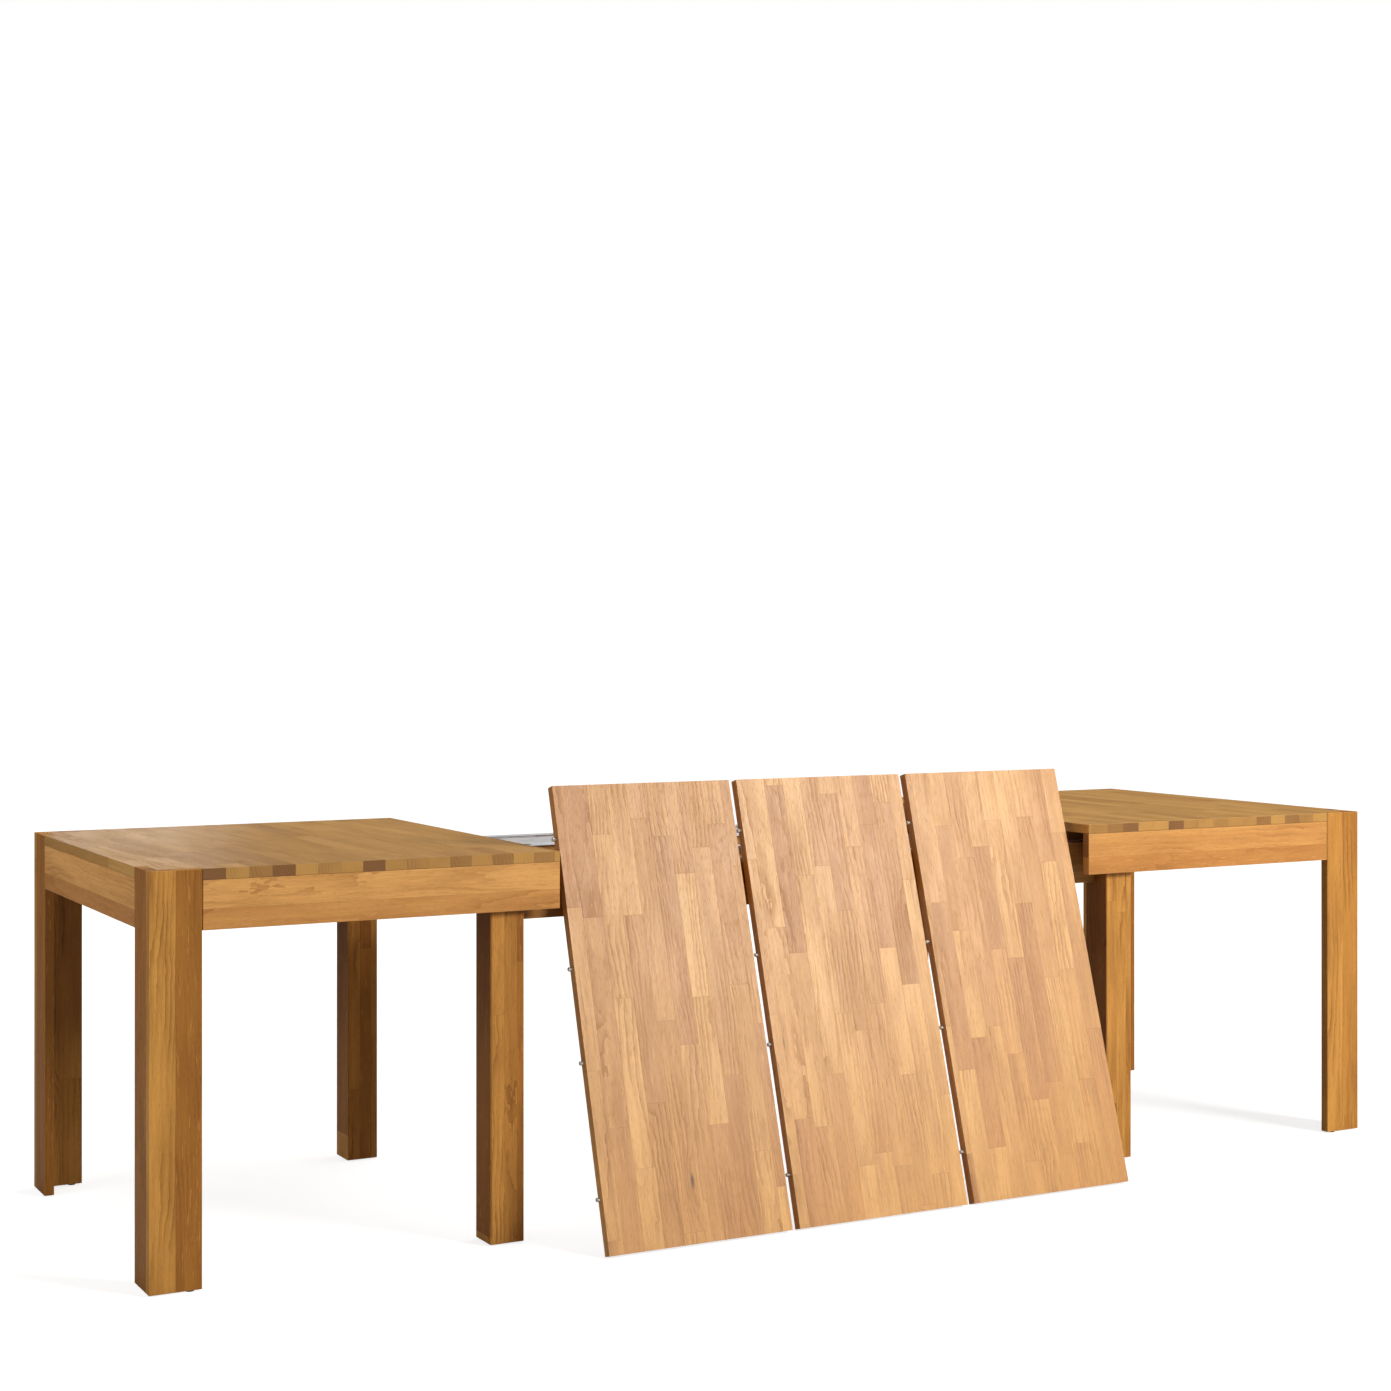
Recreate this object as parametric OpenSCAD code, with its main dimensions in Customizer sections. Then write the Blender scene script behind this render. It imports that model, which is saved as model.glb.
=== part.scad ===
// Extendable dining table, shown pulled open with its three leaves leaning against
// the near side rail. Millimetres, +Z up, X along the table, -Y towards the leaves.
// The origin is on the floor, at the middle of the whole arrangement's footprint.

/* [Table] */
// Height of the table top above the floor
table_h = 750; // [700:5:790]
// Depth of the table, and the length of each leaf
table_w = 900; // [750:10:1080]
// Length of each half of the top
half_len = 800; // [700:10:960]
// Thickness of the tops and the leaves
top_t = 20; // [16:1:28]

/* [Leaves] */
// Width of each leaf along the table
leaf_w = 400; // [320:10:420]
// Space between one leaning leaf and the next
leaf_gap = 17; // [5:1:25]
// Space between an outer leaf and the half beside it
leaf_end_gap = 25; // [25:1:40]
// Lean of the leaves from the vertical, in degrees
leaf_lean = 16.3; // [12:0.1:20]
// Thickness of the cleats under each leaf's ends
cleat_w = 30; // [20:1:40]
// Distance from a leaf's long edge to the end of its cleats
cleat_inset = 20; // [15:1:40]

/* [Alignment pins] */
// Radius of the pins that line up the tops and the leaves
pin_r = 4; // [3:0.5:5]
// Length of a pin outside the wood
pin_out = 9; // [6:1:16]
// Length of a pin inside the wood
pin_in = 17; // [12:1:25]
// Distance of the outer pins from the ends of the edge
pin_end_dist = 105; // [60:5:150]
// Distance of the inner pins from the middle of the edge
pin_mid_dist = 90; // [60:5:120]

/* [Aprons and corner legs] */
// Height of the aprons
apron_h = 90; // [70:5:110]
// Thickness of the aprons and of the leg boards
board_t = 20; // [16:1:25]
// Width of an L-shaped corner leg along each face
corner_leg_w = 96; // [80:1:120]

/* [Inner frame] */
// Side of a square inner leg
inner_leg_w = 70; // [55:1:85]
// Height of the side rails
rail_h = 90; // [70:5:110]
// Thickness of the side rails
rail_t = 30; // [22:1:40]
// Distance from the underside of the top down to the inner frame
frame_drop = 25; // [20:1:35]
// Thickness of the end rails
end_rail_t = 24; // [18:1:30]
// Height of the end rails and of the centre crossbeam
cross_rail_h = 38; // [30:1:50]
// Width of the centre crossbeam along the table
crossbeam_w = 50; // [40:1:80]

/* [Slides] */
// Height of the ball-bearing slides
slide_h = 27; // [25:1:35]
// Thickness of a slide, from the rail to the batten
slide_t = 12.7; // [12.7:0.1:16]
// Thickness of the slides' sheet steel
sheet_t = 1.2; // [1:0.1:1.4]
// Thickness of the battens that carry the tops
batten_t = 20; // [16:1:30]
// Screws in each slide member
slide_screws = 4; // [3:1:6]

/* [Synchroniser] */
// Number of teeth on the pinion, an even number
pinion_teeth = 16; // [16:2:20]
// Tooth size, as the pitch diameter over the tooth count
gear_module = 2.5; // [2:0.25:3]
// Height of the racks
rack_h = 10; // [8:1:12]
// Radius of the steel pin that the pinion turns on
pinion_pin_r = 4; // [3:0.5:5]

/* [Glides] */
// Height of the glides under the legs
glide_h = 2.5; // [2:0.5:5]
// Radius of the glides under the inner legs
inner_glide_r = 14; // [10:1:20]
// Radius of the glides under the corner legs' boards
corner_glide_r = 8; // [5:0.5:8]

/* [Hidden] */
$fn = 48;
leaf_count = 3;

// Clearances
leg_clearance = 2;          // corner leg to inner leg with the table closed
lean_clearance = 0.3;       // leaf to the rail that it leans on
socket_clearance = 0.3;     // radial, pin in socket
socket_extra = 3;           // socket deeper than the pin
running_clearance = 0.05;   // radial, pinion on its pin
press_clearance = 0.02;     // radial, pinion pin in its guide
part_gap = 0.5;             // moving piece to fixed piece, where they pass

// The arrangement along the table
pull_out = (leaf_count * leaf_w + (leaf_count - 1) * leaf_gap + 2 * leaf_end_gap) / 2;
x_end = pull_out + half_len;
half_w = table_w / 2;

// Heights
z_under = table_h - top_t;
z_frame = z_under - frame_drop;
slide_rise = 3;
slide_z0 = z_frame + slide_rise - slide_h;
slide_mid_z = slide_z0 + slide_h / 2;
batten_z0 = slide_z0 + 1;
cross_z1 = slide_z0 - 3;
cross_z0 = cross_z1 - cross_rail_h;

// The inner frame, measured from the table's middle
leg_out_y = half_w - board_t - leg_clearance;
leg_in_y = leg_out_y - inner_leg_w;
rail_out_y = leg_in_y + rail_t;
leg_out_x = half_len - board_t - leg_clearance;
leg_in_x = leg_out_x - inner_leg_w;
end_rail_mid_x = leg_out_x - inner_leg_w / 2;

// Slides and battens
slide_centre_gap = 8;
slide_len = leg_in_x - slide_centre_gap;
slide_travel = pull_out;
slide_screw_end = 40;
batten_end_gap = 5;
batten_out_y = leg_in_y - slide_t;

// Slide sections: distance from the rail, and half heights
fixed_lip = 1.8;
middle_half_h = slide_h / 2 - 4.7;
middle_y0 = 2.2;
middle_web_y = 4.6;
middle_y1 = 9.2;
moving_half_h = middle_half_h - 3.6;
moving_y0 = middle_web_y + sheet_t + 1;

// Wood screws
screw_head_r = 3.6;
screw_head_h = 1.2;
screw_shank_r = 1.9;
screw_hole_r = 2.2;
screw_len = 15;
batten_screws = 3;
batten_screw_bite = 12;
batten_screw_head_r = 4;
batten_screw_head_h = 2;
batten_screw_end = 90;
batten_screw_len = batten_screw_head_h + z_under - batten_z0 + batten_screw_bite;

// Synchroniser
pitch_r = pinion_teeth * gear_module / 2;
rack_pitch = PI * gear_module;
pressure_angle = 20;
base_r = pitch_r * cos(pressure_angle);
pinion_tip_r = pitch_r + 0.96 * gear_module;
pinion_root_r = pitch_r - 1.2 * gear_module;
rack_addendum = 0.86 * gear_module;
rack_dedendum = 1.16 * gear_module;
backlash = 0.3;
rack_back = 5.5;
rack_lead = 2 * rack_pitch;
rack_tail = 60;
bracket_gap = 10;
bracket_w = 44;
bracket_screw_inset = 14;
guide_base = 8;
guide_wall = 5;
guide_len = 60;
guide_screw_x = 22;
rack_z0 = cross_z1 + guide_base + part_gap;
rack_back_y = pitch_r + rack_dedendum + rack_back;
pinion_pin_head_r = 7;
pinion_pin_head_h = 3;
pinion_pin_in = 12;

// Leaves: the back foot edge rests on the floor, and the back leans on the near side rail
leaf_foot_z = top_t * sin(leaf_lean);
cleat_y0 = half_w - rail_out_y;
cleat_y1 = table_w - cleat_y0;

// The foot's place when the rail stops a face that lies this deep behind the leaf's front,
// from y0 to y1 along the leaf; 0 when that face is wholly above the rail
function foot_y_for(depth, y0, y1) =
  let (y = min(y1, (z_frame - leaf_foot_z + depth * sin(leaf_lean)) / cos(leaf_lean)))
  y < y0 ? 0
         : -rail_out_y - lean_clearance / cos(leaf_lean) - y * sin(leaf_lean) - depth * cos(leaf_lean);
leaf_foot_y = min(foot_y_for(top_t, 0, table_w),
                  foot_y_for(top_t + frame_drop, cleat_y1 - cleat_w, cleat_y1));

// The whole footprint runs from the leaves' feet to the table's far face
mid_y = -(leaf_foot_y + half_w) / 2;

// Points of the pinion: involute flanks between the root and the tip
function involute(a) = tan(a) * 180 / PI - a;
function polar(r, a) = [r * cos(a), r * sin(a)];
tooth_half_angle = 90 / pinion_teeth - backlash / 2 / pitch_r * 180 / PI;
flank_steps = 5;
function flank_r(i) = base_r + (pinion_tip_r - base_r) * i / flank_steps;
function flank_a(i) = tooth_half_angle + involute(pressure_angle) - involute(acos(base_r / flank_r(i)));
function pinion_tooth(a) = concat(
  [polar(pinion_root_r, a - flank_a(0))],
  [for (i = [0:flank_steps]) polar(flank_r(i), a - flank_a(i))],
  [for (i = [flank_steps:-1:0]) polar(flank_r(i), a + flank_a(i))],
  [polar(pinion_root_r, a + flank_a(0))]
);
pinion_points = [
  for (k = [0:pinion_teeth - 1]) each pinion_tooth(k * 360 / pinion_teeth - 90)
];

// Points of the left rack: straight flanks, with a gap facing the pinion at X = 0
rack_teeth = floor((pull_out + 2 * rack_lead) / rack_pitch);
rack_x1 = rack_lead;
rack_x0 = -pull_out - rack_tail;
tip_half = rack_pitch / 4 - backlash / 2 - rack_addendum * tan(pressure_angle);
root_half = rack_pitch / 4 - backlash / 2 + rack_dedendum * tan(pressure_angle);
function rack_tooth(x) = [
  [x + root_half, -pitch_r - rack_dedendum], [x + tip_half, -pitch_r + rack_addendum],
  [x - tip_half, -pitch_r + rack_addendum], [x - root_half, -pitch_r - rack_dedendum]
];
rack_points = concat(
  [[rack_x0, -rack_back_y], [rack_x1, -rack_back_y], [rack_x1, -pitch_r - rack_dedendum]],
  [for (k = [0:rack_teeth - 1]) each rack_tooth(rack_x1 - (k + 0.5) * rack_pitch)],
  [[rack_x0, -pitch_r - rack_dedendum]]
);

// Section of each slide member: distance from the rail, and height from the middle
fixed_section = channel(0, slide_t - sheet_t, slide_h / 2, fixed_lip);
function channel(y0, y1, hh, lip) = [
  [y0, -hh], [y1, -hh], [y1, -hh + sheet_t + lip], [y1 - sheet_t, -hh + sheet_t + lip],
  [y1 - sheet_t, -hh + sheet_t], [y0 + sheet_t, -hh + sheet_t],
  [y0 + sheet_t, hh - sheet_t], [y1 - sheet_t, hh - sheet_t],
  [y1 - sheet_t, hh - sheet_t - lip], [y1, hh - sheet_t - lip], [y1, hh], [y0, hh]
];
middle_section = [
  [middle_y0, -middle_half_h], [middle_y1, -middle_half_h],
  [middle_y1, -middle_half_h + sheet_t], [middle_web_y + sheet_t, -middle_half_h + sheet_t],
  [middle_web_y + sheet_t, middle_half_h - sheet_t], [middle_y1, middle_half_h - sheet_t],
  [middle_y1, middle_half_h], [middle_y0, middle_half_h],
  [middle_y0, middle_half_h - sheet_t], [middle_web_y, middle_half_h - sheet_t],
  [middle_web_y, -middle_half_h + sheet_t], [middle_y0, -middle_half_h + sheet_t]
];
moving_section = [
  [slide_t, -moving_half_h], [slide_t, moving_half_h], [moving_y0, moving_half_h],
  [moving_y0, moving_half_h - sheet_t], [slide_t - sheet_t, moving_half_h - sheet_t],
  [slide_t - sheet_t, -moving_half_h + sheet_t], [moving_y0, -moving_half_h + sheet_t],
  [moving_y0, -moving_half_h]
];

oak = [0.76, 0.53, 0.29];
oak_light = [0.84, 0.64, 0.42];
oak_dark = [0.60, 0.38, 0.18];
zinc = [0.80, 0.81, 0.83];
steel = [0.60, 0.61, 0.63];
plastic = [0.16, 0.15, 0.14];

pin_ys = [pin_end_dist - half_w, -pin_mid_dist, pin_mid_dist, half_w - pin_end_dist];

// Draws a far-right piece in any corner: sx is -1 left or 1 right, sy is -1 near or 1 far
module corner(sx, sy) {
  translate([0, mid_y, 0])
    mirror([sx < 0 ? 1 : 0, 0, 0]) mirror([0, sy < 0 ? 1 : 0, 0]) children();
}

// Draws a piece of the left half on the left, or turned about the table's middle on the right
module turned(sx) {
  translate([0, mid_y, 0]) rotate([0, 0, sx < 0 ? 0 : 180]) children();
}

module block(x0, x1, y0, y1, z0, z1) {
  translate([x0, y0, z0]) cube([x1 - x0, y1 - y0, z1 - z0]);
}

// Runs a slide section along X from x0, on the far-right rail
module slide_run(section, x0) {
  translate([x0, leg_in_y, slide_mid_z])
    rotate([90, 0, 90]) mirror([1, 0, 0]) linear_extrude(slide_len) polygon(section);
}

// Places of the screws along a slide member that starts at x0
function slide_screw_xs(x0) = [
  for (i = [0:slide_screws - 1])
    x0 + slide_screw_end + i * (slide_len - 2 * slide_screw_end) / (slide_screws - 1)
];

module along_y(y0, y1, r) {
  translate([0, y0, 0]) rotate([-90, 0, 0]) cylinder(h = y1 - y0, r = r);
}

// --- Inner frame ---

module inner_leg(sx, sy) {
  color(oak_dark) corner(sx, sy)
    block(leg_in_x, leg_out_x, leg_in_y, leg_out_y, glide_h, z_frame);
}

module side_rail(sy) {
  color(oak) corner(1, sy)
    block(-leg_in_x, leg_in_x, leg_in_y, rail_out_y, z_frame - rail_h, z_frame);
}

module end_rail(sx) {
  color(oak) corner(sx, 1)
    block(end_rail_mid_x - end_rail_t / 2, end_rail_mid_x + end_rail_t / 2,
          -leg_in_y, leg_in_y, cross_z0, cross_z1);
}

module centre_crossbeam() {
  color(oak) corner(1, 1) difference() {
    block(-crossbeam_w / 2, crossbeam_w / 2, -leg_in_y, leg_in_y, cross_z0, cross_z1);
    translate([0, 0, cross_z1 - pinion_pin_in])
      cylinder(h = pinion_pin_in + 1, r = pinion_pin_r + press_clearance);
  }
}

module slide_fixed(sx, sy) {
  color(zinc) corner(sx, sy) difference() {
    slide_run(fixed_section, slide_centre_gap);
    for (x = slide_screw_xs(slide_centre_gap))
      translate([x, 0, slide_mid_z]) along_y(leg_in_y - sheet_t - 1, leg_in_y + 1, screw_hole_r);
  }
}

module rack_guide() {
  color(steel) corner(1, 1) difference() {
    union() {
      block(-guide_len / 2, guide_len / 2, -rack_back_y - part_gap - guide_wall,
            rack_back_y + part_gap + guide_wall, cross_z1, cross_z1 + guide_base);
      for (s = [-1, 1]) {
        y = s * (rack_back_y + part_gap + guide_wall / 2);
        block(-guide_len / 2, guide_len / 2, y - guide_wall / 2, y + guide_wall / 2,
              cross_z1 + guide_base, rack_z0 + rack_h - 2.5);
      }
    }
    translate([0, 0, cross_z1 - 1])
      cylinder(h = guide_base + 2, r = pinion_pin_r + press_clearance);
  }
}

module pinion_pin() {
  color(steel) corner(1, 1) {
    translate([0, 0, cross_z1 - pinion_pin_in])
      cylinder(h = rack_z0 + rack_h + part_gap - cross_z1 + pinion_pin_in, r = pinion_pin_r);
    translate([0, 0, rack_z0 + rack_h + part_gap])
      cylinder(h = pinion_pin_head_h, r = pinion_pin_head_r);
  }
}

// A screw whose head stands on Y = y and whose shank runs towards +Y or -Y
module side_screw(y, direction) {
  head_y = direction > 0 ? y - screw_head_h : y;
  shank_y = direction > 0 ? y : y - screw_len;
  along_y(head_y, head_y + screw_head_h, screw_head_r);
  along_y(shank_y, shank_y + screw_len, screw_shank_r);
}

module frame_screws() {
  color(steel)
    for (sx = [-1, 1]) for (sy = [-1, 1]) corner(sx, sy)
      for (x = slide_screw_xs(slide_centre_gap))
        translate([x, 0, slide_mid_z]) side_screw(leg_in_y - sheet_t, 1);
}

module frame_glides() {
  color(plastic)
    for (sx = [-1, 1]) for (sy = [-1, 1]) corner(sx, sy)
      translate([end_rail_mid_x, leg_in_y + inner_leg_w / 2, 0])
        cylinder(h = glide_h, r = inner_glide_r);
}

// --- Synchroniser pinion and the slides' middle members ---

module sync_pinion() {
  color(plastic) corner(1, 1) translate([0, 0, rack_z0 + part_gap]) difference() {
    linear_extrude(rack_h - part_gap) polygon(pinion_points);
    translate([0, 0, -1]) cylinder(h = rack_h + 2, r = pinion_pin_r + running_clearance);
  }
}

module slide_middle(sx, sy) {
  color(zinc) corner(sx, sy) slide_run(middle_section, slide_centre_gap + slide_travel / 2);
}

// --- Halves ---

// Outline of the corner leg's L, at the far-right corner
corner_leg_outline = [
  [x_end, half_w], [x_end - corner_leg_w, half_w], [x_end - corner_leg_w, half_w - board_t],
  [x_end - board_t, half_w - board_t], [x_end - board_t, half_w - corner_leg_w],
  [x_end, half_w - corner_leg_w]
];

module top(sx) {
  color(oak) corner(sx, 1) difference() {
    block(pull_out, x_end, -half_w, half_w, z_under, table_h);
    for (sy = [-1, 1]) mirror([0, sy < 0 ? 1 : 0, 0])
      translate([0, 0, z_under - 1]) linear_extrude(top_t + 2) polygon(corner_leg_outline);
    if (sx < 0)
      for (y = pin_ys) translate([pull_out - 1, y, table_h - top_t / 2]) rotate([0, 90, 0])
        cylinder(h = pin_out + socket_extra + 1, r = pin_r + socket_clearance);
  }
}

module apron_side(sx, sy) {
  color(oak) corner(sx, sy)
    block(pull_out, x_end - corner_leg_w, half_w - board_t, half_w, z_under - apron_h, z_under);
}

module apron_end(sx) {
  color(oak) corner(sx, 1)
    block(x_end - board_t, x_end, corner_leg_w - half_w, half_w - corner_leg_w,
          z_under - apron_h, z_under);
}

// Two boards glued at the corner: the side board covers the end board's edge
module corner_leg(sx, sy) {
  color(oak) corner(sx, sy) {
    block(x_end - corner_leg_w, x_end, half_w - board_t, half_w, glide_h, table_h);
    block(x_end - board_t, x_end, half_w - corner_leg_w, half_w - board_t, glide_h, table_h);
  }
}

module batten(sx, sy) {
  color(oak_dark) corner(sx, sy)
    block(pull_out + batten_end_gap, x_end - board_t - batten_end_gap,
          batten_out_y - batten_t, batten_out_y, batten_z0, z_under);
}

module slide_moving(sx, sy) {
  color(zinc) corner(sx, sy) difference() {
    slide_run(moving_section, slide_centre_gap + slide_travel);
    for (x = slide_screw_xs(slide_centre_gap + slide_travel))
      translate([x, 0, slide_mid_z])
        along_y(batten_out_y - 1, batten_out_y + sheet_t + 1, screw_hole_r);
  }
}

module rack(sx) {
  color(steel) turned(sx)
    translate([0, 0, rack_z0]) linear_extrude(rack_h) polygon(rack_points);
}

module rack_bracket(sx) {
  color(oak_dark) turned(sx)
    block(rack_x0, -pull_out - bracket_gap, -pitch_r - rack_dedendum - bracket_w,
          -pitch_r - rack_dedendum, rack_z0 + rack_h, z_under);
}

module half_screws(sx) {
  color(steel) for (sy = [-1, 1]) corner(sx, sy) {
    for (x = slide_screw_xs(slide_centre_gap + slide_travel))
      translate([x, 0, slide_mid_z]) side_screw(batten_out_y + sheet_t, -1);
    for (i = [0:batten_screws - 1])
      translate([pull_out + batten_screw_end
                   + i * (half_len - board_t - 2 * batten_screw_end) / (batten_screws - 1),
                 batten_out_y - batten_t / 2, batten_z0 - batten_screw_head_h]) {
        cylinder(h = batten_screw_head_h, r = batten_screw_head_r);
        cylinder(h = batten_screw_len, r = screw_shank_r);
      }
  }
}

module half_glides(sx) {
  color(plastic) for (sy = [-1, 1]) corner(sx, sy) {
    translate([x_end - board_t / 2, half_w - corner_leg_w + board_t, 0])
      cylinder(h = glide_h, r = corner_glide_r);
    translate([x_end - corner_leg_w + board_t, half_w - board_t / 2, 0])
      cylinder(h = glide_h, r = corner_glide_r);
  }
}

// A row of pins along an edge at X = 0, standing out towards -X
module pin_row(z) {
  for (y = pin_ys) translate([-pin_out, y, z]) rotate([0, 90, 0])
    cylinder(h = pin_out + pin_in, r = pin_r);
}

module half_pins_right() {
  color(steel) translate([pull_out, mid_y, 0]) pin_row(table_h - top_t / 2);
}

// --- Leaves ---

// Stands a leaf on its foot, leaning back on the near side rail
module leaning(index) {
  translate([-pull_out + leaf_end_gap + index * (leaf_w + leaf_gap), mid_y + leaf_foot_y, leaf_foot_z])
    rotate([90 - leaf_lean, 0, 0]) children();
}

module leaf(index) {
  color(oak_light) leaning(index) difference() {
    translate([0, 0, -top_t]) cube([leaf_w, table_w, top_t]);
    for (y = pin_ys)
      translate([leaf_w - pin_out - socket_extra, half_w + y, -top_t / 2]) rotate([0, 90, 0])
        cylinder(h = pin_out + socket_extra + 1, r = pin_r + socket_clearance);
  }
}

module leaf_pins(index) {
  color(steel) leaning(index) translate([0, half_w, 0]) pin_row(-top_t / 2);
}

module leaf_cleats(index) {
  color(oak) leaning(index)
    for (y = [cleat_y0, cleat_y1 - cleat_w])
      translate([cleat_inset, y, -top_t - frame_drop])
        cube([leaf_w - 2 * cleat_inset, cleat_w, frame_drop]);
}

inner_leg(-1, -1);  // inner_leg_near_left
inner_leg(1, -1);  // inner_leg_near_right
inner_leg(-1, 1);  // inner_leg_far_left
inner_leg(1, 1);  // inner_leg_far_right
side_rail(-1);  // side_rail_near
side_rail(1);  // side_rail_far
end_rail(-1);  // end_rail_left
end_rail(1);  // end_rail_right
centre_crossbeam();
slide_fixed(-1, -1);  // slide_fixed_near_left
slide_fixed(1, -1);  // slide_fixed_near_right
slide_fixed(-1, 1);  // slide_fixed_far_left
slide_fixed(1, 1);  // slide_fixed_far_right
rack_guide();
pinion_pin();
frame_screws();
frame_glides();
sync_pinion();
slide_middle(-1, -1);  // slide_middle_near_left
slide_middle(-1, 1);  // slide_middle_far_left
slide_middle(1, -1);  // slide_middle_near_right
slide_middle(1, 1);  // slide_middle_far_right
top(-1);  // top_left
apron_side(-1, -1);  // apron_near_left
apron_side(-1, 1);  // apron_far_left
apron_end(-1);  // apron_end_left
corner_leg(-1, -1);  // corner_leg_near_left
corner_leg(-1, 1);  // corner_leg_far_left
batten(-1, -1);  // batten_near_left
batten(-1, 1);  // batten_far_left
slide_moving(-1, -1);  // slide_moving_near_left
slide_moving(-1, 1);  // slide_moving_far_left
rack(-1);  // rack_left
rack_bracket(-1);  // rack_bracket_left
half_screws(-1);  // half_screws_left
half_glides(-1);  // half_glides_left
top(1);  // top_right
apron_side(1, -1);  // apron_near_right
apron_side(1, 1);  // apron_far_right
apron_end(1);  // apron_end_right
corner_leg(1, -1);  // corner_leg_near_right
corner_leg(1, 1);  // corner_leg_far_right
batten(1, -1);  // batten_near_right
batten(1, 1);  // batten_far_right
slide_moving(1, -1);  // slide_moving_near_right
slide_moving(1, 1);  // slide_moving_far_right
rack(1);  // rack_right
rack_bracket(1);  // rack_bracket_right
half_screws(1);  // half_screws_right
half_glides(1);  // half_glides_right
half_pins_right();
leaf(0);  // leaf_left
leaf(1);  // leaf_middle
leaf(2);  // leaf_right
leaf_pins(0);  // leaf_pins_left
leaf_pins(1);  // leaf_pins_middle
leaf_pins(2);  // leaf_pins_right
leaf_cleats(0);  // leaf_cleats_left
leaf_cleats(1);  // leaf_cleats_middle
leaf_cleats(2);  // leaf_cleats_right
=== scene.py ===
# %% [markdown]
# # An extendable oak table, pulled open, with its leaves waiting at the side
#
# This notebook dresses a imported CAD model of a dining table. The table is open: its two
# halves stand apart on ball-bearing slides, and three loose leaves lean against the near
# rail of the inner frame. The CAD gives every place and size. Blender adds what a
# cabinet maker would notice: eased edges, staves of different tone, end grain, steel that
# has been drawn and plated, and screws with a driver's cross in them.
#
# The first cell loads the CAD as a fixed frame. Nothing in it is moved.

import math

import bpy
import numpy as np
from mathutils import Matrix, Vector


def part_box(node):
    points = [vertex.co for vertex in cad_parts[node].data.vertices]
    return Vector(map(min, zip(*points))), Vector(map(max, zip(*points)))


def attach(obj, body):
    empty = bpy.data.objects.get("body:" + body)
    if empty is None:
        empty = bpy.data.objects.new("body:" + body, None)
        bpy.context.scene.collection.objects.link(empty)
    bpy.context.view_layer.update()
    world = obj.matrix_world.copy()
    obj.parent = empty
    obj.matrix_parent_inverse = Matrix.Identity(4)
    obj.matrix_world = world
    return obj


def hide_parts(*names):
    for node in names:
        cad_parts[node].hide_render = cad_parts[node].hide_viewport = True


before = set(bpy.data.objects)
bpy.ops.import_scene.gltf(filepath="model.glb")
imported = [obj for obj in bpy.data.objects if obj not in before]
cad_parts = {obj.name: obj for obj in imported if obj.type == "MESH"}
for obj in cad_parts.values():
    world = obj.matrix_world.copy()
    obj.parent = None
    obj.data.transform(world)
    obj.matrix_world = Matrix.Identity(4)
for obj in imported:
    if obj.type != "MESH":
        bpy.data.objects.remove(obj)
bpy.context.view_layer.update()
MM = 0.001
SIDES = ("left", "right")
DEPTHS = ("near", "far")
LEAVES = ("left", "middle", "right")
CORNERS = [(depth, side) for depth in DEPTHS for side in SIDES]

# %% [markdown]
# ## The studio
#
# A table is sold on a plain pale ground, so the stage is one large floor and an even
# sky. The sky that the camera sees is brighter than the one that lights the wood. That
# way the ground stays clean while the left-facing sides keep their depth.

# %% Camera
camera_data = bpy.data.cameras.new("camera")
camera_data.sensor_width = 36.0
camera_data.lens = 58.284
camera_data.shift_x = 0.02409
camera_data.shift_y = -0.04572
camera = bpy.data.objects.new("camera", camera_data)
bpy.context.scene.collection.objects.link(camera)
camera.location = (-2.50867, -4.28996, 1.16498)
camera.rotation_euler = (math.radians(90.0955), 0.0, math.radians(-28.0469))
bpy.context.scene.camera = camera
bpy.context.scene.view_settings.view_transform = "Standard"
print("camera height:", camera.location.z)

# %% Small helpers for picking and for node trees
def deselect():
    """Nothing selected, nothing in edit mode."""
    if bpy.context.object and bpy.context.object.mode != "OBJECT":
        bpy.ops.object.mode_set(mode="OBJECT")
    bpy.ops.object.select_all(action="DESELECT")


def pick(*pieces):
    """Selects these pieces only, the first of them active."""
    deselect()
    for piece in pieces:
        piece.select_set(True)
    bpy.context.view_layer.objects.active = pieces[0]


def place(tree, kind, **settings):
    """Adds a node to a tree and sets its properties."""
    node = tree.nodes.new(kind)
    for key, value in settings.items():
        setattr(node, key, value)
    return node


def feed(tree, socket, value):
    """Links an output into a socket, or sets the socket to a plain value."""
    if isinstance(value, bpy.types.NodeSocket):
        tree.links.new(value, socket)
    elif value is not None:
        socket.default_value = value


def calc(tree, operation, *values, clamp=False):
    """One Math node, fed with numbers or sockets; gives its output socket."""
    node = place(tree, "ShaderNodeMath", operation=operation, use_clamp=clamp)
    for socket, value in zip(node.inputs, values):
        feed(tree, socket, value)
    return node.outputs[0]


def vector_calc(tree, operation, *values):
    """One Vector Math node, fed in the same way."""
    node = place(tree, "ShaderNodeVectorMath", operation=operation)
    for socket, value in zip(node.inputs, values):
        feed(tree, socket, value)
    return node.outputs["Value" if operation in ("LENGTH", "DOT_PRODUCT") else "Vector"]


def split(tree, value, kind="XYZ"):
    """The three parts of a vector or, with kind "Color", of a colour."""
    node = place(tree, f"ShaderNodeSeparate{kind}")
    feed(tree, node.inputs[0], value)
    return node.outputs


def roll(tree, *numbers):
    """Throws a die that always falls the same way for the same three numbers."""
    key = place(tree, "ShaderNodeCombineXYZ")
    for socket, number in zip(key.inputs, numbers):
        feed(tree, socket, number)
    node = place(tree, "ShaderNodeTexWhiteNoise", noise_dimensions="3D")
    feed(tree, node.inputs["Vector"], key.outputs[0])
    return node.outputs


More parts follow.
